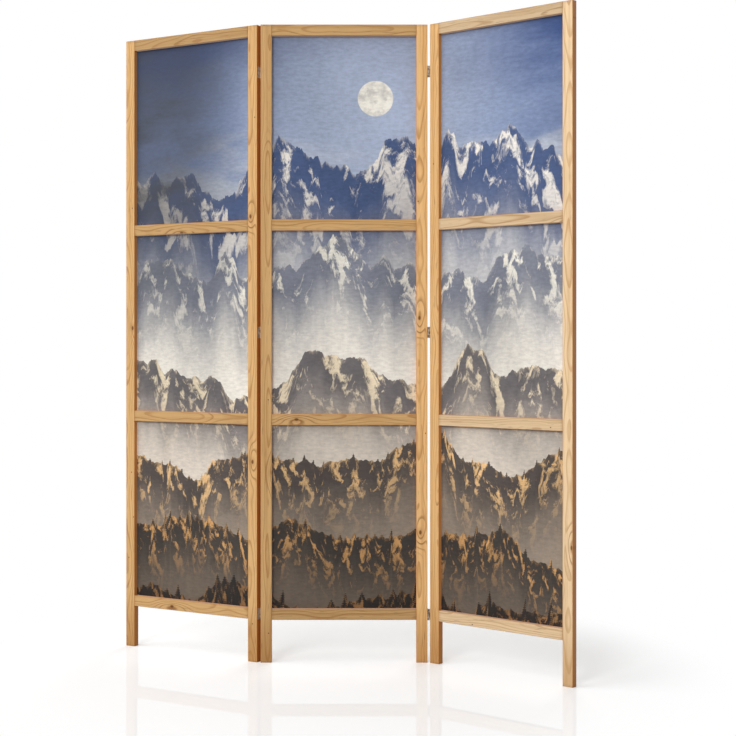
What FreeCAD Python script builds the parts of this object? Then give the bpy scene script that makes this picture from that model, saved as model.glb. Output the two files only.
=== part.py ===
import FreeCAD, Part
import os
import Sketcher
from FreeCAD import Placement, Rotation, Vector

# A three-panel folding screen: pine frames, printed cloth stretched behind them, butt hinges.
# Millimetres. +X runs along the middle panel, +Y to its back, +Z up from the floor.
doc = FreeCAD.newDocument("FoldingScreen")


# Driving dimensions, one cell each
DRIVING = {
    # frame of one panel
    "panel_width": 450,
    "panel_height": 1720,
    "frame_depth": 18,
    "stile_width": 30,
    "rail_height": 30,
    "leg_height": 115,
    "edge_round": 1,
    # ledge at the back of the frame that the cloth lies on
    "rebate_depth": 6,
    "rebate_width": 10,
    "rebate_corner": 4,
    "cloth_thickness": 0.6,
    "cloth_margin": 1,
    # dowels that hold each rail between the stiles, two at each end
    "dowel_diameter": 6,
    "dowel_length": 30,
    "dowel_pitch": 10,
    "dowel_chamfer": 0.8,
    "glue_gap": 0.05,
    # staples that hold the cloth to the ledge
    "staple_crown": 10,
    "staple_leg": 6,
    "wire_width": 1.2,
    "wire_thickness": 0.6,
    "wire_gap": 0.05,
    "staples_per_field": 4,
    "staples_per_rail": 3,
    # butt hinges, three at each joint, let into the stiles' edges at the left joint only
    "hinge_height": 30,
    "leaf_width": 15,
    "leaf_thickness": 1.25,
    "leaf_corner": 2,
    "pin_diameter": 3.4,
    "pin_chamfer": 0.4,
    "pin_clearance": 0.05,
    "knuckle_gap": 0.3,
    "left_axis_proud": 0.3,
    "right_axis_proud": 1.5,
    "left_joint_gap": 0.5,
    "leaf_gap": 0.2,
    "seat_room": 0.3,
    "top_hinge_drop": 127,
    "middle_hinge_height": 890,
    # countersunk screws, two in each leaf
    "screw_diameter": 3,
    "screw_length": 12,
    "screw_tip": 2,
    "screw_end": 4.5,
    "head_land": 0.1,
    "screw_gap": 0.05,
    "recess_span": 3,
    "recess_width": 0.7,
    "recess_depth": 1,
    # how far each outer panel is folded at rest, in degrees from flat
    "left_fold_degrees": 30,
    "right_fold_degrees": 40,
}
RAILS = ("bottom_rail", "lower_rail", "upper_rail", "top_rail")
HINGES = ("bottom_hinge", "middle_hinge", "top_hinge")
FIELDS = len(RAILS) - 1

# Sizes that follow from the driving ones
WORKED_OUT = {
    "rail_length": "=Sizes.panel_width - 2 * Sizes.stile_width",
    "rails_together": f"={len(RAILS)} * Sizes.rail_height",
    "field_height": f"=(Sizes.panel_height - Sizes.leg_height - rails_together) / {FIELDS}",
    "rail_pitch": "=field_height + Sizes.rail_height",
    "ledge_depth": "=Sizes.frame_depth - Sizes.rebate_depth",
    "rebate_low": "=Sizes.leg_height + Sizes.rail_height - Sizes.rebate_width",
    "rebate_high": "=Sizes.panel_height - Sizes.rail_height + Sizes.rebate_width",
    "cloth_overlap": "=Sizes.rebate_width - Sizes.cloth_margin - Sizes.rebate_corner * (1 - sqrt(0.5))",
    "cloth_width": "=rail_length + 2 * cloth_overlap",
    "cloth_height": f"={FIELDS} * rail_pitch - Sizes.rail_height + 2 * cloth_overlap",
    "dowel_depth": "=Sizes.dowel_length / 2 + Sizes.glue_gap",
    "dowel_line": "=ledge_depth / 2",
    "staple_line": "=cloth_overlap / 2",
    "staple_field_pitch": "=field_height / Sizes.staples_per_field",
    "staple_rail_pitch": "=rail_length / Sizes.staples_per_rail",
    "barrel_radius": "=Sizes.pin_diameter / 2 + Sizes.pin_clearance + Sizes.leaf_thickness",
    "left_pin_set": "=Sizes.leaf_thickness + Sizes.leaf_gap / 2",
    "right_pin_set": "=barrel_radius",
    "left_let_in": "=left_pin_set - Sizes.left_joint_gap / 2",
    "right_joint_gap": "=2 * right_pin_set",
    "knuckle_height": "=(Sizes.hinge_height - 2 * Sizes.knuckle_gap) / 3",
    "screw_line": "=(barrel_radius + Sizes.leaf_width) / 2",
    "screw_pitch": "=Sizes.hinge_height - 2 * Sizes.screw_end",
    "screw_hole_radius": "=Sizes.screw_diameter / 2 + Sizes.screw_gap",
    "head_height": "=Sizes.leaf_thickness - Sizes.head_land",
    "right_pilot_depth": "=Sizes.screw_length - Sizes.leaf_thickness + Sizes.screw_gap",
    "left_pilot_depth": "=right_pilot_depth + left_let_in",
    "bottom_hinge": "=Sizes.leg_height + Sizes.rail_height / 2",
    "middle_hinge": "=Sizes.middle_hinge_height",
    "top_hinge": "=Sizes.panel_height - Sizes.top_hinge_drop",
}


def fill_sheet(name, cells):
    """Write the cells one below another, each with its name beside it as its alias."""
    sheet = doc.addObject("Spreadsheet::Sheet", name)
    for row, (alias, content) in enumerate(cells.items(), start=1):
        sheet.set(f"A{row}", alias)
        sheet.set(f"B{row}", str(content))
        sheet.setAlias(f"B{row}", alias)
    doc.recompute()
    return sheet


SHEETS = (fill_sheet("Sizes", DRIVING), fill_sheet("Layout", WORKED_OUT))


def size(alias):
    """The number in the cell of that name."""
    sheet = SHEETS[0] if alias in DRIVING else SHEETS[1]
    return float(sheet.get(alias))


# Sketches and features, bound to the sheets
def sketch_on(body, plane, offset="0"):
    """An empty sketch on one of the body's own planes, moved along the plane's normal."""
    sketch = body.newObject("Sketcher::SketchObject", "Sketch")
    planes = {feature.Role: feature for feature in body.Origin.OriginFeatures}
    sketch.AttachmentSupport = [(planes[plane], "")]
    sketch.MapMode = "FlatFace"
    sketch.setExpression("AttachmentOffset.Base.z", offset)
    return sketch


def fix_distance(sketch, kind, geometry, point, distance):
    """Hold one point of the sketch at a distance from the origin; 0 puts it on the axis."""
    if distance == "0":
        axis = -2 if kind == "DistanceX" else -1
        sketch.addConstraint(Sketcher.Constraint("PointOnObject", geometry, point, axis))
        return
    constraint = sketch.addConstraint(Sketcher.Constraint(kind, -1, 1, geometry, point, 1.0))
    sketch.setExpression(f"Constraints[{constraint}]", distance)


def draw_polygon(sketch, corners):
    """A closed outline through the corners, each given as two expressions."""
    first = sketch.GeometryCount
    count = len(corners)
    turn = Rotation(Vector(0, 0, 1), 360 / count)
    point = Vector(1, 0, 0)
    for _ in corners:
        following = turn.multVec(point)
        sketch.addGeometry(Part.LineSegment(point, following))
        point = following
    for index, (across, up) in enumerate(corners):
        line = first + index
        sketch.addConstraint(Sketcher.Constraint("Coincident", line, 2, first + (index + 1) % count, 1))
        fix_distance(sketch, "DistanceX", line, 1, across)
        fix_distance(sketch, "DistanceY", line, 1, up)


def draw_rectangle(sketch, left, low, right, high):
    draw_polygon(sketch, [(left, low), (right, low), (right, high), (left, high)])


def draw_circle(sketch, across, up, radius):
    circle = sketch.addGeometry(Part.Circle(Vector(1, 1, 0), Vector(0, 0, 1), 1))
    fix_distance(sketch, "DistanceX", circle, 3, across)
    fix_distance(sketch, "DistanceY", circle, 3, up)
    constraint = sketch.addConstraint(Sketcher.Constraint("Radius", circle, 1.0))
    sketch.setExpression(f"Constraints[{constraint}]", radius)


def pad(body, sketch, length):
    """Raise the sketch along its normal."""
    feature = body.newObject("PartDesign::Pad", "Pad")
    feature.Profile = sketch
    feature.setExpression("Length", length)
    return feature


def pocket(body, sketch, depth, along_normal):
    """Cut the sketch into the solid, along the sketch's normal or against it."""
    feature = body.newObject("PartDesign::Pocket", "Pocket")
    feature.Profile = sketch
    feature.Reversed = along_normal
    feature.setExpression("Length", depth)
    return feature


def repeat(body, feature, axis, spacing, count):
    """Repeat a cut in one row along one of the body's own axes."""
    axes = {item.Role: item for item in body.Origin.OriginFeatures}
    pattern = body.newObject("PartDesign::LinearPattern", "Row")
    pattern.Originals = [feature]
    pattern.Direction = (axes[axis], [""])
    pattern.Mode = "Spacing"
    pattern.setExpression("Offset", spacing)
    pattern.setExpression("Occurrences", count)
    body.Tip = pattern


def soften(body, kind, wanted, amount):
    """Fillet or chamfer the edges of the solid so far that the wanted test picks."""
    doc.recompute()
    base = body.Tip
    names = [f"Edge{i}" for i, edge in enumerate(base.Shape.Edges, start=1) if wanted(edge)]
    feature = body.newObject(f"PartDesign::{kind}", kind)
    feature.Base = (base, names)
    feature.setExpression("Radius" if kind == "Fillet" else "Size", amount)


def lies_at(edge, **places):
    """True where every vertex of the edge has the given x, y or z."""
    close = 1e-4
    return all(abs(getattr(vertex.Point, axis) - place) < close
               for vertex in edge.Vertexes for axis, place in places.items())


# Frame: stiles that run down as legs, and four rails between them
def make_stile(label, inner_edge_high, joint=None):
    """One upright, drilled for its joint's hinges, with its inner edge at the high or low end of its X."""
    body = doc.addObject("PartDesign::Body", label)
    section = sketch_on(body, "XY_Plane")
    draw_rectangle(section, "0", "0", "Sizes.stile_width", "Sizes.frame_depth")
    pad(body, section, "Sizes.panel_height")
    soften(body, "Fillet", lambda edge: True, "Sizes.edge_round")

    rebate = sketch_on(body, "XZ_Plane", "-Sizes.frame_depth")
    if inner_edge_high:
        draw_rectangle(rebate, "Sizes.stile_width - Sizes.rebate_width", "Layout.rebate_low",
                       "Sizes.stile_width", "Layout.rebate_high")
        wall = size("stile_width") - size("rebate_width")
    else:
        draw_rectangle(rebate, "0", "Layout.rebate_low", "Sizes.rebate_width", "Layout.rebate_high")
        wall = size("rebate_width")
    pocket(body, rebate, "Sizes.rebate_depth", along_normal=True)
    ends = (size("rebate_low"), size("rebate_high"))
    soften(body, "Fillet", lambda edge: any(lies_at(edge, x=wall, z=end) for end in ends),
           "Sizes.rebate_corner")

    holes = sketch_on(body, "YZ_Plane", "Sizes.stile_width" if inner_edge_high else "0")
    rail_middle = "Sizes.leg_height + Sizes.rail_height / 2"
    hole_radius = "Sizes.dowel_diameter / 2 + Sizes.glue_gap"
    for side in ("-", "+"):
        draw_circle(holes, "Layout.dowel_line", f"{rail_middle} {side} Sizes.dowel_pitch / 2", hole_radius)
    dowel_holes = pocket(body, holes, "Layout.dowel_depth", along_normal=not inner_edge_high)
    repeat(body, dowel_holes, "Z_Axis", "Layout.rail_pitch", str(len(RAILS)))

    if joint:
        pilots = sketch_on(body, "YZ_Plane", "0" if inner_edge_high else "Sizes.stile_width")
        inwards = f"Layout.screw_line - Sizes.{joint}_axis_proud"
        across = f"Sizes.frame_depth - ({inwards})" if joint == "left" else inwards
        for hinge in HINGES:
            for side in ("-", "+"):
                draw_circle(pilots, across, f"Layout.{hinge} {side} Layout.screw_pitch / 2",
                            "Layout.screw_hole_radius")
        pocket(body, pilots, f"Layout.{joint}_pilot_depth", along_normal=inner_edge_high)
    return body


def make_rail(label, rail):
    """One cross piece. The top and bottom rails carry the cloth's ledge at their inner edge."""
    body = doc.addObject("PartDesign::Body", label)
    section = sketch_on(body, "YZ_Plane")
    front, ledge, back, high = "0", "Layout.ledge_depth", "Sizes.frame_depth", "Sizes.rail_height"
    round_at = [(0, 0), (0, size("rail_height"))]
    if rail == "bottom_rail":
        step = "Sizes.rail_height - Sizes.rebate_width"
        draw_polygon(section, [(front, "0"), (back, "0"), (back, step), (ledge, step), (ledge, high),
                               (front, high)])
        round_at.append((size("frame_depth"), 0))
    elif rail == "top_rail":
        step = "Sizes.rebate_width"
        draw_polygon(section, [(front, "0"), (ledge, "0"), (ledge, step), (back, step), (back, high),
                               (front, high)])
        round_at.append((size("frame_depth"), size("rail_height")))
    else:
        draw_rectangle(section, front, "0", ledge, high)
    pad(body, section, "Layout.rail_length")
    soften(body, "Fillet", lambda edge: any(lies_at(edge, y=y, z=z) for y, z in round_at),
           "Sizes.edge_round")

    hole_radius = "Sizes.dowel_diameter / 2 + Sizes.glue_gap"
    for offset, along_normal in (("0", True), ("Layout.rail_length", False)):
        holes = sketch_on(body, "YZ_Plane", offset)
        for side in ("-", "+"):
            draw_circle(holes, "Layout.dowel_line", f"Sizes.rail_height / 2 {side} Sizes.dowel_pitch / 2",
                        hole_radius)
        pocket(body, holes, "Layout.dowel_depth", along_normal)
    return body


# Printed cloth: one sheet behind all three fields of a panel
def make_cloth(label):
    """Its front face at y = 0, its lower left corner at the origin."""
    cloth = doc.addObject("Part::Box", label)
    cloth.setExpression("Length", "Layout.cloth_width")
    cloth.setExpression("Width", "Sizes.cloth_thickness")
    cloth.setExpression("Height", "Layout.cloth_height")
    return cloth


# One dowel, one staple and one screw, which are then copied into their groups
def make_dowel():
    """Lies along +X from its own origin."""
    body = doc.addObject("PartDesign::Body", "one_dowel")
    section = sketch_on(body, "YZ_Plane")
    draw_circle(section, "0", "0", "Sizes.dowel_diameter / 2")
    pad(body, section, "Sizes.dowel_length")
    soften(body, "Chamfer", lambda edge: isinstance(edge.Curve, Part.Circle), "Sizes.dowel_chamfer")
    doc.recompute()
    return body.Shape


def make_staple():
    """Legs along +Y from their tips, crown along X on top of them, wire lying along +Z."""
    body = doc.addObject("PartDesign::Body", "one_staple")
    bend = sketch_on(body, "XY_Plane")
    wire, crown = "Sizes.wire_thickness", "Sizes.staple_crown"
    leg = "Sizes.staple_leg"
    draw_polygon(bend, [("0", "0"), (wire, "0"), (wire, leg), (f"{crown} - {wire}", leg),
                        (f"{crown} - {wire}", "0"), (crown, "0"), (crown, f"{leg} + {wire}"),
                        ("0", f"{leg} + {wire}")])
    pad(body, bend, "Sizes.wire_width")
    doc.recompute()
    return body.Shape


def make_leg_holes():
    """What one staple's legs push aside, in the staple's own place."""
    wire, gap = size("wire_thickness"), size("wire_gap")
    legs = []
    for x in (0, size("staple_crown") - wire):
        legs.append(Part.makeBox(wire + 2 * gap, size("staple_leg") + wire, size("wire_width") + 2 * gap,
                                 Vector(x - gap, -gap, -gap)))
    return Part.makeCompound(legs)


def make_screw():
    """Points down from its head: the tip at its own origin, the head's flat on top."""
    body = doc.addObject("PartDesign::Body", "one_screw")
    half = sketch_on(body, "XZ_Plane")
    shank, top = "Sizes.screw_diameter / 2", "Sizes.screw_length"
    draw_polygon(half, [("0", "0"), (shank, "Sizes.screw_tip"), (shank, f"{top} - Layout.head_height"),
                        (f"{shank} + Layout.head_height", top), ("0", top)])
    turned = body.newObject("PartDesign::Revolution", "Revolution")
    turned.Profile = half
    turned.ReferenceAxis = (half, ["V_Axis"])
    span, width = "Sizes.recess_span / 2", "Sizes.recess_width / 2"
    for across, up in ((span, width), (width, span)):
        slot = sketch_on(body, "XY_Plane", top)
        draw_rectangle(slot, f"-{across}", f"-{up}", across, up)
        pocket(body, slot, "Sizes.recess_depth", along_normal=False)
    doc.recompute()
    return body.Shape


def make_group(label, solid, places):
    """Separate copies of one solid in one sub-part."""
    copies = []
    for place in places:
        copy = solid.copy()
        copy.Placement = place
        copies.append(copy)
    group = doc.addObject("Part::Feature", label)
    group.Shape = Part.makeCompound(copies)
    return group


# Hinges: rolled leaves screwed to the stiles' edges, and the pins they turn on
COUNTERSINK_SLOPE = -45


def make_leaf(label, joint, has_outer_knuckles):
    """One leaf with its back at x = 0, rolled round a pin that stands along Z."""
    body = doc.addObject("PartDesign::Body", label)
    radius, thick = "Layout.barrel_radius", "Sizes.leaf_thickness"
    height, pin_set = "Sizes.hinge_height", f"Layout.{joint}_pin_set"
    plate = sketch_on(body, "XY_Plane")
    draw_rectangle(plate, "0", radius, thick, f"{radius} + Sizes.leaf_width")
    pad(body, plate, height)
    free_edge = size("barrel_radius") + size("leaf_width")
    soften(body, "Fillet",
           lambda edge: any(lies_at(edge, y=free_edge, z=end) for end in (0, size("hinge_height"))),
           "Sizes.leaf_corner")
    barrel = sketch_on(body, "XY_Plane")
    draw_circle(barrel, pin_set, radius, radius)
    pad(body, barrel, height)
    bore = sketch_on(body, "XY_Plane")
    draw_circle(bore, pin_set, radius, "Sizes.pin_diameter / 2 + Sizes.pin_clearance")
    pocket(body, bore, height, along_normal=True)

    knuckle, gap = "Layout.knuckle_height", "Sizes.knuckle_gap"
    if has_outer_knuckles:
        cuts = [(knuckle, f"{height} - {knuckle}")]
    else:
        cuts = [("0", f"{knuckle} + {gap}"), (f"{height} - {knuckle} - {gap}", height)]
    for low, high in cuts:
        notch = sketch_on(body, "YZ_Plane", f"{pin_set} - {radius}")
        draw_rectangle(notch, "0", low, f"2 * {radius} + {gap}", high)
        pocket(body, notch, f"2 * {radius}", along_normal=True)

    hole, sink = "Layout.screw_hole_radius", "Layout.head_height"
    for hole_radius, depth, slope in ((hole, thick, 0), (f"{hole} + {sink}", sink, COUNTERSINK_SLOPE)):
        holes = sketch_on(body, "YZ_Plane", thick)
        for side in ("-", "+"):
            draw_circle(holes, f"{radius} + Layout.screw_line",
                        f"{height} / 2 {side} Layout.screw_pitch / 2", hole_radius)
        cut = pocket(body, holes, depth, along_normal=False)
        cut.TaperAngle = slope
    return body


def make_pin(label):
    body = doc.addObject("PartDesign::Body", label)
    section = sketch_on(body, "XY_Plane")
    draw_circle(section, "0", "0", "Sizes.pin_diameter / 2")
    pad(body, section, "Sizes.hinge_height")
    soften(body, "Chamfer", lambda edge: isinstance(edge.Curve, Part.Circle), "Sizes.pin_chamfer")
    return body


def make_hinge_seat():
    """What a let-in hinge takes from the stiles: room for its barrel, at the origin, and for its leaves."""
    room, bed = size("seat_room"), size("left_pin_set")
    height = size("hinge_height") + 2 * room
    barrel = Part.makeCylinder(size("barrel_radius") + room, height, Vector(0, 0, -height / 2))
    inwards = size("leaf_width") + room
    return barrel.fuse(Part.makeBox(2 * bed, inwards, height, Vector(-bed, -inwards, -height / 2)))


# Where everything stands
UP = Vector(0, 0, 1)
FLAT = Rotation()


def moved(x=0.0, y=0.0, z=0.0, rotation=FLAT):
    return Placement(Vector(x, y, z), rotation)


def folded(axis, degrees):
    """A turn about an upright line through the point."""
    return Placement(Vector(), Rotation(UP, degrees), axis)


# Each panel's own corner is its front bottom left one, and the middle panel's is the common start.
left_step = size("panel_width") + size("left_joint_gap")
right_step = size("panel_width") + size("right_joint_gap")
left_axis = Vector(-size("left_joint_gap") / 2, size("frame_depth") + size("left_axis_proud"), 0)
right_axis = Vector(right_step - size("right_joint_gap") / 2, -size("right_axis_proud"), 0)
stand = {
    "left": folded(left_axis, -size("left_fold_degrees")) * moved(x=-left_step),
    "middle": moved(),
    "right": folded(right_axis, -size("right_fold_degrees")) * moved(x=right_step),
}

# The origin is the middle of the floor area that the standing screen takes up.
soft = size("edge_round")
plan = [place.multVec(Vector(x, y, 0)) for place in stand.values()
        for x in (soft, size("panel_width") - soft) for y in (soft, size("frame_depth") - soft)]
middle_x = (min(p.x for p in plan) + max(p.x for p in plan)) / 2
middle_y = (min(p.y for p in plan) + max(p.y for p in plan)) / 2
centred = moved(x=-middle_x, y=-middle_y)
stand = {side: centred * place for side, place in stand.items()}

nodes = []


def add(part, place):
    """Put a finished sub-part in its place and keep it for export."""
    part.Placement = place
    nodes.append(part)


rail_heights = {rail: size("leg_height") + index * size("rail_pitch") for index, rail in enumerate(RAILS)}
inner_left = size("stile_width")
inner_right = size("panel_width") - size("stile_width")


def spread(pitch, count):
    """Distances that put that many things a pitch apart, half a pitch in from each end."""
    return [(index + 0.5) * pitch for index in range(round(count))]


def staple_places():
    """Where each staple lies on a panel, by the piece that it is driven into."""
    upright = Rotation(Vector(0, 1, 0), -90)
    tips = size("ledge_depth") + size("cloth_thickness") - size("staple_leg")
    from_middle = moved(-size("staple_crown") / 2, 0, -size("wire_width") / 2)
    line = size("staple_line")
    up_a_field = spread(size("staple_field_pitch"), size("staples_per_field"))
    along_a_rail = spread(size("staple_rail_pitch"), size("staples_per_rail"))
    field_bottoms = [rail_heights[rail] + size("rail_height") for rail in RAILS[:-1]]
    places = {}
    for stile, x in (("left_stile", inner_left - line), ("right_stile", inner_right + line)):
        places[stile] = [moved(x, tips, bottom + up, upright) * from_middle
                         for bottom in field_bottoms for up in up_a_field]
    rise = {"bottom_rail": size("rail_height") - line, "top_rail": line}
    for rail, height in rail_heights.items():
        z = height + rise.get(rail, size("rail_height") / 2)
        places[rail] = [moved(inner_left + along, tips, z) * from_middle for along in along_a_rail]
    return places


def cut_away(label, blank, solid, places):
    """The blank without what the solid takes from it at each of those places."""
    cut = doc.addObject("Part::Cut", label)
    cut.Base = blank
    cut.Tool = make_group(f"{label}_cuts", solid, places)
    return cut


dowel = make_dowel()
staple = make_staple()
leg_holes = make_leg_holes()
screw = make_screw()
staples_in = staple_places()
every_staple = sum(staples_in.values(), [])
dowel_places = [
    moved(x - size("dowel_length") / 2, size("dowel_line"),
          height + size("rail_height") / 2 + sign * size("dowel_pitch") / 2)
    for height in rail_heights.values() for x in (inner_left, inner_right) for sign in (-1, 1)]
joint_at = {
    "left": {"right_stile": "left"},
    "middle": {"left_stile": "left", "right_stile": "right"},
    "right": {"left_stile": "right"},
}
hinge_seat = make_hinge_seat()

for side, place in stand.items():
    for stile, x in (("left_stile", 0), ("right_stile", inner_right)):
        label = f"{side}_panel_{stile}"
        joint = joint_at[side].get(stile)
        blank = make_stile(f"{label}_blank", stile == "left_stile", joint)
        blank.Placement = moved(x=x)
        if joint == "left":
            pin_x = left_axis.x if side == "middle" else left_axis.x + left_step
            seats = [moved(pin_x, left_axis.y, size(hinge)) for hinge in HINGES]
            blank = cut_away(f"{label}_seated", blank, hinge_seat, seats)
        add(cut_away(label, blank, leg_holes, staples_in[stile]), place)
    for rail, height in rail_heights.items():
        label = f"{side}_panel_{rail}"
        blank = make_rail(f"{label}_blank", rail)
        blank.Placement = moved(inner_left, 0, height)
        add(cut_away(label, blank, leg_holes, staples_in[rail]), place)
    label = f"{side}_panel_printed_cloth"
    blank = make_cloth(f"{label}_blank")
    overlap = size("cloth_overlap")
    blank.Placement = moved(inner_left - overlap, size("ledge_depth"),
                            size("leg_height") + size("rail_height") - overlap)
    add(cut_away(label, blank, leg_holes, every_staple), place)
    add(make_group(f"{side}_panel_dowels", dowel, dowel_places), place)
    add(make_group(f"{side}_panel_staples", staple, every_staple), place)

# Each joint: where its pins stand on the middle panel, which way its leaves face, and its other panel
half_turn = {axis: Rotation(Vector(*axis), 180) for axis in ((1, 0, 0), (0, 1, 0), (0, 0, 1))}
joints = {
    "left": (left_axis, half_turn[0, 0, 1], half_turn[1, 0, 0], -size("left_fold_degrees")),
    "right": (right_axis, FLAT, half_turn[0, 1, 0], -size("right_fold_degrees")),
}
screw_in_leaf = [
    moved(size("leaf_thickness") - size("screw_length"), size("barrel_radius") + size("screw_line"),
          size("hinge_height") / 2 + sign * size("screw_pitch") / 2, Rotation(Vector(0, 1, 0), 90))
    for sign in (-1, 1)]

for side, (axis, middle_way, outer_way, fold) in joints.items():
    swing = centred * folded(axis, fold)
    pin_in_leaf = Vector(size(f"{side}_pin_set"), size("barrel_radius"), size("hinge_height") / 2)
    screws = {"middle": [], side: []}
    for hinge in HINGES:
        at = axis + UP * size(hinge)
        to_pin = moved(-pin_in_leaf.x, -pin_in_leaf.y, -pin_in_leaf.z)
        middle_leaf = centred * Placement(at, middle_way) * to_pin
        outer_leaf = swing * Placement(at, outer_way) * to_pin
        add(make_leaf(f"{side}_{hinge}_middle_leaf", side, True), middle_leaf)
        add(make_leaf(f"{side}_{hinge}_{side}_leaf", side, False), outer_leaf)
        add(make_pin(f"{side}_{hinge}_pin"), centred * moved(at.x, at.y, at.z - pin_in_leaf.z))
        screws["middle"] += [middle_leaf * local for local in screw_in_leaf]
        screws[side] += [outer_leaf * local for local in screw_in_leaf]
    for leaf_side, places in screws.items():
        add(make_group(f"{side}_joint_{leaf_side}_leaf_screws", screw, places), Placement())

doc.recompute()

# Nothing is written unless every feature worked and every cut took something away.
for item in doc.Objects:
    if {"Invalid", "Error"} & set(item.State):
        raise RuntimeError(f"{item.Label} failed: {item.State}")
    if item.TypeId == "PartDesign::Pocket" and item.Shape.Volume >= item.BaseFeature.Shape.Volume:
        raise RuntimeError(f"{item.Label} cuts nothing")
for part in nodes:
    if part.Shape.isNull() or not part.Shape.isValid():
        raise RuntimeError(f"{part.Label} has no valid shape")

os.makedirs("parts", exist_ok=True)
for part in nodes:
    part.Shape.exportStep(f"parts/{part.Label}.step")

for name, axis in (("left_fold", left_axis), ("right_fold", right_axis)):
    point = centred.multVec(axis)
    print(f"{name} axis at x {point.x:.3f}, y {point.y:.3f}")
print(f"{len(nodes)} sub-parts")
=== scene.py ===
# A folding screen of three hinged panels: pine frames with printed cloth behind them, in a white studio.
import math
import random
import bmesh
import bpy
from mathutils import Matrix, Vector, noise


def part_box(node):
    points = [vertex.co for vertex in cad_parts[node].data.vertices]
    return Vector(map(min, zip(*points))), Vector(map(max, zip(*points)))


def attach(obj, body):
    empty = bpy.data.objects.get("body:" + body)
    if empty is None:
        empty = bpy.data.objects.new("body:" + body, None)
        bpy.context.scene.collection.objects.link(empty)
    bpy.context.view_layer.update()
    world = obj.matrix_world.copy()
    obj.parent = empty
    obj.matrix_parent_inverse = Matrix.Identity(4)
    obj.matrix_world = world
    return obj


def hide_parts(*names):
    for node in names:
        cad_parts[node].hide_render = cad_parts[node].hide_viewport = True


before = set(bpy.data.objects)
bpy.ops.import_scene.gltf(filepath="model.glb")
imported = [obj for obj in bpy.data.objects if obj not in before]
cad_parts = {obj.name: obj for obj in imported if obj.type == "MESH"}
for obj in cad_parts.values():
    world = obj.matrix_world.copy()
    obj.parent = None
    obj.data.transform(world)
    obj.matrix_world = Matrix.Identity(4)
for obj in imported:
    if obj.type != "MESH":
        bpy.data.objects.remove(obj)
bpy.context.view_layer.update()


# Stiles and rails
# Each panel is a ladder of planed pine: two stiles that run on down as legs, and four rails between them.
# The wood is sanded smooth, its edges are eased, and one coat of clear satin lacquer is brushed on.
PANEL_TURNS = {"left": math.radians(-30), "middle": 0.0, "right": math.radians(-40)}
FRAME_PIECES = ("left_stile", "right_stile", "bottom_rail", "lower_rail", "upper_rail", "top_rail")
LACQUER_COAT = 0.08
LACQUER_ROUGHNESS = 0.42
WOOD_SHINE = 0.18
WOOD_RELIEF = 0.00012
WOOD_RELIEF_STRENGTH = 0.5


def shade(red, green, blue):
    """A colour written from 0 to 255 as a paint card gives it, in the linear values that nodes take."""
    def linear(part):
        part = part / 255
        return part / 12.92 if part <= 0.04045 else ((part + 0.055) / 1.055) ** 2.4
    return (linear(red), linear(green), linear(blue), 1)


def place(tree, kind, inputs=(), **settings):
    """Adds a node to a tree. inputs gives a value, or another node's output, for each socket."""
    made = tree.nodes.new(kind)
    for name, value in settings.items():
        setattr(made, name, value)
    for name, value in dict(inputs).items():
        if isinstance(value, bpy.types.NodeSocket):
            tree.links.new(value, made.inputs[name])
        else:
            made.inputs[name].default_value = value
    return made


def calc(tree, operation, *values):
    """The result of one sum on numbers."""
    return place(tree, "ShaderNodeMath", enumerate(values), operation=operation).outputs[0]


def vector_calc(tree, operation, *values):
    """The result of one sum on vectors: a vector, or a number for a length."""
    made = place(tree, "ShaderNodeVectorMath", enumerate(values), operation=operation)
    return made.outputs["Value" if operation == "LENGTH" else "Vector"]


def parts(tree, vector):
    """The three numbers of a vector."""
    return place(tree, "ShaderNodeSeparateXYZ", {0: vector}).outputs


def joined(tree, x, y, z):
    """A vector made of three numbers."""
    return place(tree, "ShaderNodeCombineXYZ", enumerate((x, y, z))).outputs[0]


def step(tree, value, start, end, low=0.0, high=1.0):
    """A value that goes smoothly from low to high while another goes from start to end."""
    inputs = enumerate((value, start, end, low, high))
    return place(tree, "ShaderNodeMapRange", inputs, interpolation_type="SMOOTHSTEP").outputs[0]


def fade(tree, value, start, end):
    """A value that goes smoothly from 1 to 0 while another goes from start to end."""
    return step(tree, value, start, end, 1.0, 0.0)


def mixed(tree, amount, first, second, blend="MIX"):
    """Two colours mixed. A Mix node's colour sockets are its inputs 6 and 7 and its output 2."""
    inputs = {0: amount, 6: first, 7: second}
    return place(tree, "ShaderNodeMix", inputs, data_type="RGBA", blend_type=blend).outputs[2]


def dimmed(tree, colour, value):
    """A colour times a number, which makes it darker or lighter."""
    grey = place(tree, "ShaderNodeCombineColor", enumerate((value, value, value))).outputs[0]
    return mixed(tree, 1.0, colour, grey, "MULTIPLY")


def mottle(tree, vector, rate, detail, roughness=0.5):
    """Soft blotchy noise. rate sets how closely its blotches lie in each direction."""
    scaled = vector_calc(tree, "MULTIPLY", vector, rate)
    inputs = {"Vector": scaled, "Scale": 1.0, "Detail": detail, "Roughness": roughness}
    return place(tree, "ShaderNodeTexNoise", inputs).outputs


def new_group(name, inputs, outputs):
    """An empty node group with named sockets: its tree, what it is given and what it puts out."""
    tree = bpy.data.node_groups.new(name, "ShaderNodeTree")
    for label, kind in inputs.items():
        tree.interface.new_socket(label, in_out="INPUT", socket_type="NodeSocket" + kind)
    for label, kind in outputs.items():
        tree.interface.new_socket(label, in_out="OUTPUT", socket_type="NodeSocket" + kind)
    return tree, tree.nodes.new("NodeGroupInput").outputs, tree.nodes.new("NodeGroupOutput").inputs


def send(tree, outputs, **values):
    """Links a group's results to its outputs."""
    for label, value in values.items():
        tree.links.new(value, outputs[label])


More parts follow.
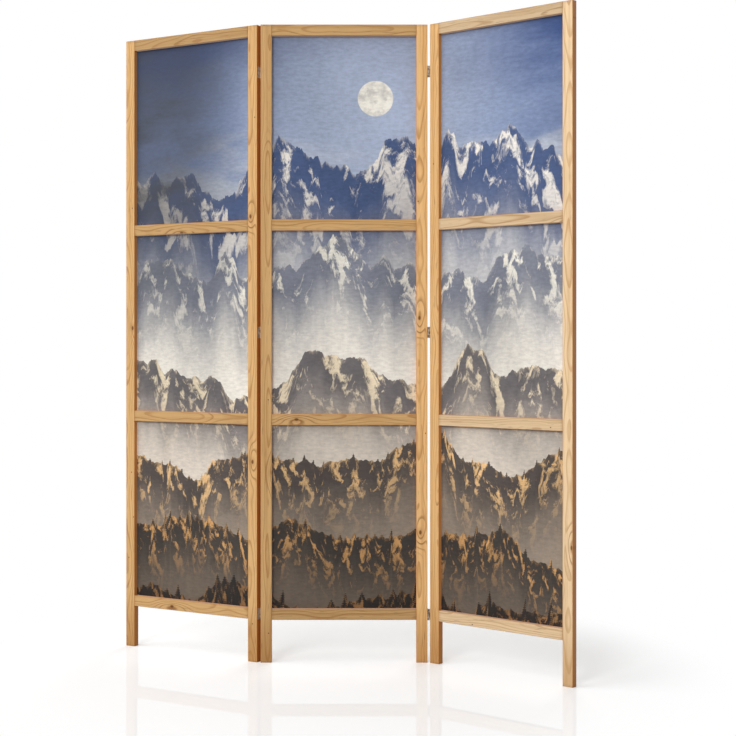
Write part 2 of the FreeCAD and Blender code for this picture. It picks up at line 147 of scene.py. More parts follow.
# The heart of the tree lies behind a board's face and wanders along the log
LOG_SEED = 11
HEART_ASIDE = (0.003, 0.016)
HEART_DEPTH = (0.020, 0.044)
LOG_STRETCH = (-40.0, 40.0)
WANDER_RATE = (0.0, 0.0, 3.0)
WANDER = (0.034, 0.046, 0.0)
NOISE_MIDDLE = (0.5, 0.5, 0.5)
ACROSS_GRAIN = (1.0, 1.0, 0.0)

# Growth rings ripple, and each darkens to a thin line of late wood, stronger in some years than in others
RIPPLE_RATE = (28.0, 28.0, 5.0)
RING_RIPPLE = 0.003
LATE_START = (0.56, 0.88)
LATE_END = (0.92, 1.0)
LATE_YEARS = (0.30, 1.0)

# Knots stand in some cells of a grid, with so many cells to the metre across and along the grain
KNOT_CELLS = (13.0, 3.1)
KNOT_SQUEEZE = 0.62
KNOT_EDGE = (0.0022, 0.0048)
HALO_EDGE = (0.003, 0.013)
FIGURE_SQUEEZE = 0.26
FIGURE_EDGE = (0.004, 0.022)
BEND_REACH = 0.022
RING_BEND = 0.012
PIN_CELLS = (30.0, 8.0)
PIN_SQUEEZE = 0.8
PIN_EDGE = (0.0009, 0.0021)

# Fibres, broader streaks of tone and specks of resin run along the grain
FIBRE_RATE = (900.0, 900.0, 20.0)
FIBRE_EDGE = (0.25, 0.75)
FIBRE_TONES = (0.92, 1.05)
STREAK_RATE = (130.0, 130.0, 2.6)
STREAK_EDGE = (0.40, 0.72)
RESIN_RATE = (330.0, 330.0, 19.0)
RESIN_EDGE = (0.64, 0.72)

# Eased edges are pale in patches, from wear and a painted highlight; narrow sides take painted shade; ends
# soak up lacquer and go dark; and the legs take painted shade towards the floor
EDGE_WIDTH = (0.0008, 0.0030)
EDGE_PATCHES = (0.35, 0.62)
EDGE_WEAR_AND_HIGHLIGHT = (0.25, 1.0)
SIDE_SHADE_DEPTH = (0.0003, 0.0014)
END_DEPTH = (0.0002, 0.0012)
SOAK_REACH = 0.010
FOOT_SHADE_HEIGHT = 0.19
NO_FOOT_SHADE = 0.001

# What lies over the pale early wood, in order: how strongly, and in which of the wood's colours
# The legs' darker tone is painted shade, darker towards the floor
WOOD_TONES = {"late": (0.60, "Late"), "streaks": (0.32, "Late"), "foot shade": (0.54, "Late")}
WOOD_MARKS = {
    "resin": (0.36, "Knot"),
    "figure": (0.60, "Knot"),
    "halo": (0.35, "Late"),
    "knot": (0.88, "Knot"),
    "pin knot": (0.92, "Knot"),
    # Pale eased edges are partly wear and partly a painted highlight
    "edge": (0.38, "Early"),
    # The narrow sides' darkening is painted shade
    "side": (0.86, "Side"),
    "end": (0.55, "Side"),
    "soak": (0.16, "Knot"),
}
WOOD_ROUGHNESS = 0.30
FIBRE_ROUGHNESS = 0.16
EDGE_ROUGHNESS = 0.12
END_ROUGHNESS = 0.25
FIBRE_HEIGHT = 0.6


def knot_cells(tree, x, z, cells):
    """A grid of scattered places on a board: where a point lies in it, and the cell that it belongs to."""
    grid = joined(tree, calc(tree, "MULTIPLY", x, cells[0]), calc(tree, "MULTIPLY", z, cells[1]), 0.0)
    inputs = {"Vector": grid, "Scale": 1.0}
    return grid, place(tree, "ShaderNodeTexVoronoi", inputs, voronoi_dimensions="2D").outputs


def from_cell(tree, grid, cell, cells, squeeze):
    """How far a point is from the middle of its cell in metres, with lengths along the grain squeezed."""
    offset = vector_calc(tree, "SUBTRACT", grid, cell["Position"])
    metres = (1 / cells[0], squeeze / cells[1], 0.0)
    return vector_calc(tree, "LENGTH", vector_calc(tree, "MULTIPLY", offset, metres))


def wood_group():
    """Wood sawn from a log: growth rings about a wandering heart, fibres, knots, ends and eased edges."""
    tree, given, out = new_group(
        "sawn wood",
        {"Place": "Vector", "Heart": "Vector", "Half Size": "Vector", "Foot": "Float", "Ring Width": "Float",
         "Knots": "Float", "Pin Knots": "Float", "Early": "Color", "Late": "Color", "Side": "Color",
         "Knot": "Color"},
        {"Colour": "Color", "Roughness": "Float", "Height": "Float"},
    )
    log = vector_calc(tree, "ADD", given["Place"], given["Heart"])
    x, _, z = parts(tree, log)

    # A few small knots, around which the rings bend and darken
    grid, cell = knot_cells(tree, x, z, KNOT_CELLS)
    present = calc(tree, "LESS_THAN", parts(tree, cell["Color"])[0], given["Knots"])
    from_knot = from_cell(tree, grid, cell, KNOT_CELLS, KNOT_SQUEEZE)
    around = from_cell(tree, grid, cell, KNOT_CELLS, FIGURE_SQUEEZE)
    knot = calc(tree, "MULTIPLY", present, fade(tree, from_knot, *KNOT_EDGE))
    halo = calc(tree, "MULTIPLY", present, fade(tree, from_knot, *HALO_EDGE))
    figured = calc(tree, "MULTIPLY", present, fade(tree, around, *FIGURE_EDGE))
    bend = calc(tree, "MULTIPLY", present, step(tree, around, 0.0, BEND_REACH, RING_BEND, 0.0))

    # Pin knots, the size of a nail head
    grid, cell = knot_cells(tree, x, z, PIN_CELLS)
    present = calc(tree, "LESS_THAN", parts(tree, cell["Color"])[1], given["Pin Knots"])
    from_pin = from_cell(tree, grid, cell, PIN_CELLS, PIN_SQUEEZE)
    pin_knot = calc(tree, "MULTIPLY", present, fade(tree, from_pin, *PIN_EDGE))

    # Growth rings about the heart, which draw long arches on the faces
    wander = mottle(tree, log, WANDER_RATE, detail=2.0)["Color"]
    wander = vector_calc(tree, "SUBTRACT", wander, NOISE_MIDDLE)
    sideways = vector_calc(tree, "ADD", log, vector_calc(tree, "MULTIPLY", wander, WANDER))
    across = vector_calc(tree, "MULTIPLY", sideways, ACROSS_GRAIN)
    radius = calc(tree, "ADD", vector_calc(tree, "LENGTH", across), bend)
    ripple = mottle(tree, log, RIPPLE_RATE, detail=2.0)["Fac"]
    radius = calc(tree, "MULTIPLY_ADD", ripple, RING_RIPPLE, radius)
    rings = calc(tree, "DIVIDE", radius, given["Ring Width"])
    band = calc(tree, "FRACT", rings)
    year = place(tree, "ShaderNodeTexWhiteNoise", {"W": calc(tree, "FLOOR", rings)}, noise_dimensions="1D")
    late = calc(tree, "MULTIPLY", step(tree, band, *LATE_START), fade(tree, band, *LATE_END))
    late = calc(tree, "MULTIPLY", late, step(tree, year.outputs["Value"], 0.0, 1.0, *LATE_YEARS))

    fibres = mottle(tree, log, FIBRE_RATE, detail=3.0)["Fac"]
    streaks = mottle(tree, log, STREAK_RATE, detail=3.0)["Fac"]
    resin = mottle(tree, log, RESIN_RATE, detail=2.0)["Fac"]

    # How far a point is from the piece's sides, faces, ends and foot
    outward = vector_calc(tree, "ABSOLUTE", given["Place"])
    from_side, from_face, from_end = parts(tree, vector_calc(tree, "SUBTRACT", given["Half Size"], outward))
    from_foot = calc(tree, "ADD", parts(tree, given["Place"])[2], parts(tree, given["Half Size"])[2])
    # Pale patches along the eased edges: wear, and a painted highlight
    edge = fade(tree, calc(tree, "ADD", from_side, from_face), *EDGE_WIDTH)
    edge = calc(tree, "MULTIPLY", edge, step(tree, streaks, *EDGE_PATCHES, *EDGE_WEAR_AND_HIGHLIGHT))
    end = fade(tree, from_end, *END_DEPTH)

    masks = {
        "late": late,
        "streaks": step(tree, streaks, *STREAK_EDGE),
        # Painted shade on the legs, darker towards the floor
        "foot shade": fade(tree, from_foot, 0.0, given["Foot"]),
        "resin": step(tree, resin, *RESIN_EDGE),
        "figure": calc(tree, "MULTIPLY", figured, late),
        "halo": halo,
        "knot": knot,
        "pin knot": pin_knot,
        "edge": edge,
        # Painted shade on the narrow sides
        "side": fade(tree, from_side, *SIDE_SHADE_DEPTH),
        "end": end,
        "soak": fade(tree, from_end, 0.0, SOAK_REACH),
    }

    def layered(colour, layers):
        """Lays the wood's other colours over one, each where its mask says."""
        for label, (amount, tint) in layers.items():
            colour = mixed(tree, calc(tree, "MULTIPLY", masks[label], amount), colour, given[tint])
        return colour

    colour = layered(given["Early"], WOOD_TONES)
    colour = dimmed(tree, colour, step(tree, fibres, *FIBRE_EDGE, *FIBRE_TONES))
    colour = layered(colour, WOOD_MARKS)
    roughness = calc(tree, "MULTIPLY_ADD", fibres, FIBRE_ROUGHNESS, WOOD_ROUGHNESS)
    roughness = calc(tree, "MULTIPLY_ADD", edge, EDGE_ROUGHNESS, roughness)
    roughness = calc(tree, "MULTIPLY_ADD", end, END_ROUGHNESS, roughness)
    height = calc(tree, "MULTIPLY_ADD", fibres, FIBRE_HEIGHT, late)
    height = calc(tree, "SUBTRACT", height, knot)
    send(tree, out, Colour=colour, Roughness=roughness, Height=height)
    return tree


SAWN_WOOD = wood_group()
PINE = {
    "Ring Width": 0.0044,
    "Knots": 0.30,
    "Pin Knots": 0.13,
    "Early": shade(227, 183, 125),
    "Late": shade(172, 114, 56),
    # The narrow sides' painted shade, which is also the dark of the end grain
    "Side": shade(194, 122, 50),
    "Knot": shade(104, 60, 28),
}

# Painted light and shade, board by board: over 1 a board is painted paler and under 1 darker, the outer
# panels' top rails darkest; the palest pine is a painted sheen
BOARD_LIGHT_AND_SHADE = {
    "left": {"top_rail": 0.71, "upper_rail": 0.79, "lower_rail": 0.84, "bottom_rail": 0.92},
    "middle": {
        "left_stile": 0.94, "right_stile": 1.24,
        "top_rail": 0.87, "upper_rail": 0.92, "lower_rail": 0.91, "bottom_rail": 0.79,
    },
    "right": {
        "left_stile": 1.08,
        "top_rail": 0.72, "upper_rail": 0.79, "lower_rail": 0.84, "bottom_rail": 0.90,
    },
}
# A paler, yellower pine: a painted sheen on most of the right panel's boards
PAINTED_SHEEN_PINE = {**PINE, "Early": shade(247, 215, 172), "Late": shade(192, 141, 86)}
PAINTED_SHEEN_BOARDS = {f"right_panel_{piece}" for piece in FRAME_PIECES if piece != "left_stile"}


def new_material(name):
    """A material with one shader: its node tree and that shader."""
    material = bpy.data.materials.new(name)
    material.use_nodes = True
    return material, material.node_tree, material.node_tree.nodes["Principled BSDF"]


def own_place(tree, centre, turn, lying):
    """A point in the piece's own directions, measured from its middle, with the grain along Z."""
    spot = {
        "Vector": place(tree, "ShaderNodeTexCoord").outputs["Object"],
        "Location": centre,
        "Rotation": (0.0, math.pi / 2 if lying else 0.0, turn),
    }
    return place(tree, "ShaderNodeMapping", spot, vector_type="TEXTURE").outputs[0]


def raise_surface(tree, shader, height, depth, strength):
    """Gives a shader the fine relief of its surface."""
    relief = {"Height": height, "Distance": depth, "Strength": strength}
    tree.links.new(place(tree, "ShaderNodeBump", relief).outputs[0], shader.inputs["Normal"])


def wood_material(name, wood, centre, turn, lying, half_size, heart, coat):
    """Wood for one piece, cut from its own part of the log, with its coat of lacquer, which is 0 if bare."""
    material, tree, shader = new_material(name)
    cut = {
        "Place": own_place(tree, centre, turn, lying),
        "Heart": heart,
        "Half Size": half_size,
        # Stiles take painted shade towards the floor, and rails none
        "Foot": NO_FOOT_SHADE if lying else FOOT_SHADE_HEIGHT,
    }
    sawn = place(tree, "ShaderNodeGroup", {**cut, **wood}, node_tree=SAWN_WOOD).outputs
    tree.links.new(sawn["Colour"], shader.inputs["Base Color"])
    tree.links.new(sawn["Roughness"], shader.inputs["Roughness"])
    raise_surface(tree, shader, sawn["Height"], WOOD_RELIEF, WOOD_RELIEF_STRENGTH)
    shader.inputs["Specular IOR Level"].default_value = WOOD_SHINE
    shader.inputs["Coat Weight"].default_value = coat
    shader.inputs["Coat Roughness"].default_value = LACQUER_ROUGHNESS
    return material


def dress(name, material):
    """Gives a CAD node its finish."""
    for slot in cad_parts[name].material_slots:
        slot.material = material


def middle_of(name):
    """The middle of a CAD node."""
    low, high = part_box(name)
    return (low + high) / 2


def is_rail(piece):
    """Whether a piece of the frame lies across, as the rails do."""
    return piece.endswith("rail")


def own_half_size(piece):
    """Half of a piece's width, depth and length, from the middle panel, which isn't turned."""
    low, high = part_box(f"middle_panel_{piece}")
    wide, deep, tall = (high - low) / 2
    return (tall, deep, wide) if is_rail(piece) else (wide, deep, tall)


def toned(wood, tone):
    """The same wood painted paler or darker, as light and shade on one board."""
    def change(value):
        return (*(part * tone for part in value[:3]), 1) if isinstance(value, tuple) else value
    return {label: change(value) for label, value in wood.items()}


log_yard = random.Random(LOG_SEED)
for panel, turn in PANEL_TURNS.items():
    for piece in FRAME_PIECES:
        name = f"{panel}_panel_{piece}"
        aside = log_yard.choice((-1, 1)) * log_yard.uniform(*HEART_ASIDE)
        heart = (aside, log_yard.uniform(*HEART_DEPTH), log_yard.uniform(*LOG_STRETCH))
        # Each board's painted light and shade, and the painted sheen
        tone = BOARD_LIGHT_AND_SHADE[panel].get(piece, 1.0)
        wood = toned(PAINTED_SHEEN_PINE if name in PAINTED_SHEEN_BOARDS else PINE, tone)
        material = wood_material(
            name + "_pine", wood, middle_of(name), turn, is_rail(piece), own_half_size(piece), heart,
            coat=LACQUER_COAT)
        dress(name, material)


# Dowels
# Plain beech pegs, two at each rail end, glued into holes bored in the rail and the stile.
# They hold the frame together and stay hidden in the joints, so their wood is bare.
BEECH = {
    "Ring Width": 0.0016,
    "Knots": 0.0,
    "Pin Knots": 0.0,
    "Early": shade(214, 176, 138),
    "Late": shade(186, 140, 100),
    "Side": shade(186, 140, 100),
    "Knot": shade(150, 104, 70),
}
DOWEL_HEART = (0.03, 0.02)
DOWEL_STRETCH = (-9.0, 9.0)

# A half size far beyond a peg's own, so that its wood gets no pale edges, painted side shade or dark ends
NO_EDGES = (1.0, 1.0, 1.0)
for panel, turn in PANEL_TURNS.items():
    name = f"{panel}_panel_dowels"
    heart = (*DOWEL_HEART, log_yard.uniform(*DOWEL_STRETCH))
    material = wood_material(
        name + "_beech", BEECH, middle_of(name), turn, True, NO_EDGES, heart, coat=0.0)
    dress(name, material)


# Printed cloth
# One sheet of canvas for each panel, printed on the face and stapled into the rebate behind the frame.
# The picture, misty ridges at moonrise, runs on from panel to panel.
CLOTH_WIDTH = 0.40566
CLOTH_LENGTH = 1.56066
CLOTH_THICKNESS = 0.0006
CLOTH_SPACING = 0.0054
PANEL_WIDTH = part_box("middle_panel_right_stile")[1].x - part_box("middle_panel_left_stile")[0].x
LEFT_GAP = 0.0005
RIGHT_GAP = 0.006
PANEL_STEPS = {"left": -PANEL_WIDTH - LEFT_GAP, "middle": 0.0, "right": PANEL_WIDTH + RIGHT_GAP}

# A ridge's outline, and its rock, which is lit from one side, with ravines that run down from the outline
OUTLINE_DETAIL = 8.0
OUTLINE_EDGE = 0.0016
ROCK_RATE = 5.0
RAVINE_RATE = 3.4
WARP_RATE = (1.3, 1.3, 1.0)
WARP = (0.9, 0.9, 0.0)
LIGHT_SHIFT = (0.09, -0.03, 0.0)
UNSCALED = (1.0, 1.0, 1.0)
ROCK_DETAIL = 9.0
ROCK_ROUGHNESS = 0.66
ROCK_EDGE = (0.2, 0.8)
ROCK_TONES = (0.80, 1.16)
LIT_SLOPES = (0.005, 0.09)
LIT_AT_FOOT = 0.25
RIM_DEPTH = 0.014
RIM_SLOPES = (-0.06, 0.10)
RIM_LIGHT = 0.8
MIST_DRIFT = 0.5
MIST_EDGE = (0.15, 1.05)
MIST_TONE = 0.96


def ridge_group():
    """One mountain ridge of the picture, laid over what stands behind it and fading into mist below."""
    tree, given, out = new_group(
        "mountain ridge",
        {"Picture": "Vector", "Behind": "Color", "Line": "Float", "Rise": "Float", "Runs": "Float",
         "Jag": "Float", "Seed": "Float", "Trees": "Float", "Light": "Color", "Shade": "Color",
         "Mist": "Color", "Mist Depth": "Float"},
        {"Colour": "Color"},
    )
    u, v = parts(tree, given["Picture"])[:2]
    walk = calc(tree, "MULTIPLY_ADD", u, given["Runs"], given["Seed"])
    outline = {"W": walk, "Scale": 1.0, "Detail": OUTLINE_DETAIL, "Roughness": given["Jag"]}
    profile = place(tree, "ShaderNodeTexNoise", outline, noise_dimensions="1D").outputs["Fac"]
    swing = calc(tree, "MULTIPLY_ADD", profile, 2.0, -1.0)
    line = calc(tree, "MULTIPLY_ADD", swing, given["Rise"], given["Line"])
    line = calc(tree, "ADD", line, given["Trees"])
    below = calc(tree, "SUBTRACT", line, v)
    cover = step(tree, below, 0.0, OUTLINE_EDGE)

    fall = calc(tree, "MULTIPLY", below, calc(tree, "MULTIPLY", given["Runs"], RAVINE_RATE))
    face = joined(tree, calc(tree, "MULTIPLY", walk, ROCK_RATE), fall, given["Seed"])
    warp = mottle(tree, face, WARP_RATE, detail=3.0)["Color"]
    face = vector_calc(tree, "ADD", face, vector_calc(tree, "MULTIPLY", warp, WARP))
    lit_side = vector_calc(tree, "SUBTRACT", face, LIGHT_SHIFT)
    dark_side = vector_calc(tree, "ADD", face, LIGHT_SHIFT)
    near = mottle(tree, lit_side, UNSCALED, ROCK_DETAIL, ROCK_ROUGHNESS)["Fac"]
    far = mottle(tree, dark_side, UNSCALED, ROCK_DETAIL, ROCK_ROUGHNESS)["Fac"]
    slope = calc(tree, "SUBTRACT", far, near)
    height = fade(tree, below, 0.0, given["Mist Depth"])
    share = calc(tree, "MULTIPLY_ADD", height, 1 - LIT_AT_FOOT, LIT_AT_FOOT)
    lit = calc(tree, "MULTIPLY", step(tree, slope, *LIT_SLOPES), share)
    rim = calc(tree, "MULTIPLY", fade(tree, below, 0.0, RIM_DEPTH), step(tree, slope, *RIM_SLOPES))
    lit = calc(tree, "MAXIMUM", lit, calc(tree, "MULTIPLY", rim, RIM_LIGHT))

    body = mixed(tree, lit, given["Shade"], given["Light"])
    body = dimmed(tree, body, step(tree, near, *ROCK_EDGE, *ROCK_TONES))
    drift = calc(tree, "MULTIPLY_ADD", near, MIST_DRIFT, -MIST_DRIFT / 2)
    haze = calc(tree, "ADD", calc(tree, "DIVIDE", below, given["Mist Depth"]), drift)
    body = mixed(tree, step(tree, haze, *MIST_EDGE, 0.0, MIST_TONE), body, given["Mist"])
    send(tree, out, Colour=mixed(tree, cover, given["Behind"], body))
    return tree


# Firs are pointed, with tiers of branches, so many to the metre, and trees of different ages
FIR_TIERS = 150.0
TIER_SHIFT = 9.0
TIER_WIDTH = 0.16
FIR_TAPER = 2.0
FIR_AGES = (0.15, 1.0)
FIR_HEIGHTS = (0.15, 1.0)


def tree_line_group():
    """The pointed outline of a row of firs, as a height to stand on a ridge."""
    tree, given, out = new_group(
        "row of firs",
        {"Picture": "Vector", "Count": "Float", "Tallest": "Float", "Seed": "Float"},
        {"Height": "Float"},
    )
    u, v = parts(tree, given["Picture"])[:2]
    walk = calc(tree, "MULTIPLY_ADD", u, given["Count"], given["Seed"])
    cell = place(tree, "ShaderNodeTexVoronoi", {"W": walk, "Scale": 1.0}, voronoi_dimensions="1D").outputs
    age, lean = parts(tree, cell["Color"])[:2]
    tier = calc(tree, "MULTIPLY_ADD", v, FIR_TIERS, calc(tree, "MULTIPLY", lean, TIER_SHIFT))
    width = calc(tree, "MULTIPLY_ADD", calc(tree, "FRACT", tier), TIER_WIDTH, cell["Distance"])
    point = calc(tree, "MAXIMUM", calc(tree, "MULTIPLY_ADD", width, -FIR_TAPER, 1.0), 0.0)
    tall = calc(tree, "MULTIPLY", step(tree, age, *FIR_AGES, *FIR_HEIGHTS), given["Tallest"])
    send(tree, out, Height=calc(tree, "MULTIPLY", point, tall))
    return tree


# Ridges from far to near, and for each the firs on it: how many to the metre, and the tallest one
RIDGES = (
    {"Line": 1.22, "Rise": 0.36, "Runs": 1.5, "Jag": 0.57, "Seed": 4.1, "Mist Depth": 0.46,
     "Light": shade(252, 245, 236), "Shade": shade(78, 95, 134), "Mist": shade(218, 216, 214)},
    {"Line": 0.93, "Rise": 0.31, "Runs": 1.9, "Jag": 0.56, "Seed": 9.7, "Mist Depth": 0.31,
     "Light": shade(255, 249, 236), "Shade": shade(132, 136, 149), "Mist": shade(253, 246, 234)},
    {"Line": 0.66, "Rise": 0.23, "Runs": 2.3, "Jag": 0.53, "Seed": 17.3, "Mist Depth": 0.27,
     "Light": shade(255, 236, 204), "Shade": shade(116, 111, 112), "Mist": shade(226, 214, 200)},
    {"Line": 0.41, "Rise": 0.16, "Runs": 2.9, "Jag": 0.48, "Seed": 23.9, "Mist Depth": 0.24,
     "Light": shade(244, 200, 144), "Shade": shade(86, 78, 74), "Mist": shade(158, 143, 128)},
    {"Line": 0.21, "Rise": 0.12, "Runs": 3.6, "Jag": 0.44, "Seed": 31.2, "Mist Depth": 0.20,
     "Light": shade(218, 166, 108), "Shade": shade(66, 60, 56), "Mist": shade(112, 100, 89)},
    {"Line": 0.03, "Rise": 0.09, "Runs": 4.4, "Jag": 0.42, "Seed": 43.8, "Mist Depth": 0.30,
     "Light": shade(152, 114, 76), "Shade": shade(46, 42, 40), "Mist": shade(62, 55, 50)},
)
FIRS = (
    None,
    None,
    None,
    {"Count": 74, "Tallest": 0.016},
    {"Count": 52, "Tallest": 0.028},
    {"Count": 36, "Tallest": 0.046},
)

# Evening air in brushed bands of blue that pale towards the ridges, and a low moon with grey plains
BRUSH_RATE = (2.6, 8.0, 1.0)
BRUSH_DETAIL = 8.0
BRUSH_ROUGHNESS = 0.62
BRUSH_SWING = 0.56
AIR_LOW = shade(236, 226, 212)
AIR_BANDS = (
    (0.95, 1.12, shade(188, 194, 206)),
    (1.12, 1.30, shade(116, 133, 170)),
    (1.30, 1.58, shade(60, 80, 126)),
)
MOON_PLACE = (0.085, 1.385, 0.0)
MOON_RADIUS = 0.048
MOON_EDGE = 0.001
MOON_TONE = 0.92
MOON_PALE = shade(252, 246, 232)
MOON_GREY = shade(214, 208, 198)
PLAIN_RATE = (34.0, 34.0, 1.0)
PLAIN_EDGE = (0.44, 0.66)
MOONLIGHT = shade(206, 216, 236)
MOONLIGHT_REACH = 0.60
MOONLIGHT_TONE = 0.60

# Ink lies unevenly: broad washes of tone, brush marks, and a left end that is greyer higher up
WASH_RATE = (2.6, 2.1, 1.0)
WASH_EDGE = (0.30, 0.70)
WASH_TONES = (0.84, 1.12)
MARK_RATE = (55.0, 130.0, 1.0)
MARK_DETAIL = 6.0
MARK_EDGE = (0.28, 0.72)
MARK_TONES = (0.88, 1.10)
DUSK_GREY = shade(72, 73, 78)
DUSK_REACH = (-0.50, -0.20)
DUSK_RISE = (0.60, 1.20)
DUSK_TONE = 0.94
DUSK_EDGE = (0.36, 0.64)
DUSK_STREAKS = (1.0, 0.66)


def picture_group():
    """The whole picture, in metres over the three sheets laid side by side."""
    tree, given, out = new_group("landscape print", {"Picture": "Vector"}, {"Colour": "Color"})
    where = given["Picture"]
    u, v = parts(tree, where)[:2]

    brush = mottle(tree, where, BRUSH_RATE, BRUSH_DETAIL, BRUSH_ROUGHNESS)["Fac"]
    level = calc(tree, "MULTIPLY_ADD", brush, BRUSH_SWING, calc(tree, "SUBTRACT", v, BRUSH_SWING / 2))
    picture = AIR_LOW
    for low, high, colour in AIR_BANDS:
        picture = mixed(tree, step(tree, level, low, high), picture, colour)
    from_moon = vector_calc(tree, "LENGTH", vector_calc(tree, "SUBTRACT", where, MOON_PLACE))
    glow = step(tree, from_moon, MOON_RADIUS, MOONLIGHT_REACH, MOONLIGHT_TONE, 0.0)
    picture = mixed(tree, glow, picture, MOONLIGHT)
    plains = mottle(tree, where, PLAIN_RATE, detail=4.0)["Fac"]
    moon = mixed(tree, step(tree, plains, *PLAIN_EDGE), MOON_PALE, MOON_GREY)
    disc = step(tree, from_moon, MOON_RADIUS - MOON_EDGE, MOON_RADIUS + MOON_EDGE, MOON_TONE, 0.0)
    picture = mixed(tree, disc, picture, moon)

    ridge = ridge_group()
    tree_line = tree_line_group()
    for look, firs in zip(RIDGES, FIRS):
        layer = {**look, "Picture": where, "Behind": picture}
        if firs:
            row = {**firs, "Picture": where, "Seed": look["Seed"]}
            layer["Trees"] = place(tree, "ShaderNodeGroup", row, node_tree=tree_line).outputs["Height"]
        picture = place(tree, "ShaderNodeGroup", layer, node_tree=ridge).outputs["Colour"]

    wash = mottle(tree, where, WASH_RATE, detail=3.0)["Fac"]
    marks = mottle(tree, where, MARK_RATE, MARK_DETAIL, BRUSH_ROUGHNESS)["Fac"]
    picture = dimmed(tree, picture, step(tree, wash, *WASH_EDGE, *WASH_TONES))
    picture = dimmed(tree, picture, step(tree, marks, *MARK_EDGE, *MARK_TONES))
    dusk = calc(tree, "MULTIPLY", fade(tree, u, *DUSK_REACH), step(tree, v, *DUSK_RISE, 0.0, DUSK_TONE))
    dusk = calc(tree, "MULTIPLY", dusk, step(tree, brush, *DUSK_EDGE, *DUSK_STREAKS))
    send(tree, out, Colour=mixed(tree, dusk, picture, DUSK_GREY))
    return tree


# Canvas: the width of a thread, and slubs of thicker yarn that run both ways
THREAD = 0.0009
THREAD_HEIGHT = 0.5
# The weave's painted shade: its hollows darker and its thread tops lighter
WEAVE_SHADE_EDGE = (-0.3, 1.2)
WEAVE_SHADE_TONES = (0.93, 1.05)
LONG_YARN_RATE = (700.0, 34.0, 1.0)
WIDE_YARN_RATE = (34.0, 700.0, 1.0)
SLUB_EDGE = (0.3, 0.75)
SLUB_ROUGHNESS = 0.16
CANVAS_ROUGHNESS = 0.68
CANVAS_SHINE = 0.3
CANVAS_COLOUR = shade(236, 232, 224)
WEAVE_RELIEF = 0.00010
WEAVE_STRENGTH = 0.6


def weave_group():
    """Plain canvas weave: warp and weft threads that cross over and under, and slubs of thicker yarn."""
    tree, given, out = new_group("canvas weave", {"Picture": "Vector"}, {"Height": "Float", "Slub": "Float"})
    count = math.pi / THREAD
    u, v = parts(tree, given["Picture"])[:2]
    warp = calc(tree, "SINE", calc(tree, "MULTIPLY", u, count))
    weft = calc(tree, "SINE", calc(tree, "MULTIPLY", v, count))
    over = calc(tree, "MULTIPLY", warp, weft)
    long_yarn = mottle(tree, given["Picture"], LONG_YARN_RATE, detail=2.0)["Fac"]
    wide_yarn = mottle(tree, given["Picture"], WIDE_YARN_RATE, detail=2.0)["Fac"]
    both = calc(tree, "ADD", step(tree, long_yarn, *SLUB_EDGE), step(tree, wide_yarn, *SLUB_EDGE))
    slub = calc(tree, "DIVIDE", both, 2.0)
    send(tree, out, Height=calc(tree, "MULTIPLY_ADD", over, THREAD_HEIGHT, slub), Slub=slub)
    return tree


LANDSCAPE = picture_group()
WEAVE = weave_group()


def cloth_material(name, ink):
    """Canvas with ink on it: ink 1 is the printed face, and less is what shows through to the back."""
    material, tree, shader = new_material(name)
    flat = place(tree, "ShaderNodeUVMap", uv_map="picture").outputs["UV"]
    print_colour = place(tree, "ShaderNodeGroup", {"Picture": flat}, node_tree=LANDSCAPE).outputs["Colour"]
    weave = place(tree, "ShaderNodeGroup", {"Picture": flat}, node_tree=WEAVE).outputs
    colour = mixed(tree, ink, CANVAS_COLOUR, print_colour)
    # Painted shade in the hollows between threads, and light on their tops
    colour = dimmed(tree, colour, step(tree, weave["Height"], *WEAVE_SHADE_EDGE, *WEAVE_SHADE_TONES))
    roughness = calc(tree, "MULTIPLY_ADD", weave["Slub"], SLUB_ROUGHNESS, CANVAS_ROUGHNESS)
    tree.links.new(colour, shader.inputs["Base Color"])
    tree.links.new(roughness, shader.inputs["Roughness"])
    raise_surface(tree, shader, weave["Height"], WEAVE_RELIEF, WEAVE_STRENGTH)
    shader.inputs["Specular IOR Level"].default_value = CANVAS_SHINE
    return material


CLOTH_FACE = cloth_material("canvas_face", ink=1.0)
CLOTH_BACK = cloth_material("canvas_back", ink=0.10)

# The cloth bellies a little in each field, between one rail and the next, and has slanting wrinkles
SLACK = 0.0011
WRINKLE = 0.0007
WRINKLES_ACROSS = 9
WRINKLES_UP = 4
SLANT_ACROSS = 3
SLANT_UP = 2
SEED_STEP = 5.0
RAIL_BOXES = [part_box(f"middle_panel_{piece}") for piece in FRAME_PIECES if is_rail(piece)]
FIELD_EDGES = [(lower[1].z, upper[0].z) for lower, upper in zip(RAIL_BOXES, RAIL_BOXES[1:])]
FIELD_WIDTH = 2 * own_half_size("top_rail")[2]


def slack_at(x, z, seed):
    """How far the cloth stands back from flat. It is tight at the frame."""
    s = (x + FIELD_WIDTH / 2) / FIELD_WIDTH
    for bottom, top in FIELD_EDGES:
        t = (z - bottom) / (top - bottom)
        if 0 < s < 1 and 0 < t < 1:
            window = math.sin(math.pi * s) * math.sin(math.pi * t)
            across = x * WRINKLES_ACROSS + z * SLANT_ACROSS
            up = z * WRINKLES_UP - x * SLANT_UP
            wrinkle = noise.noise(Vector((across, up, seed)))
            return window * SLACK + math.sqrt(window) * wrinkle * WRINKLE
    return 0.0


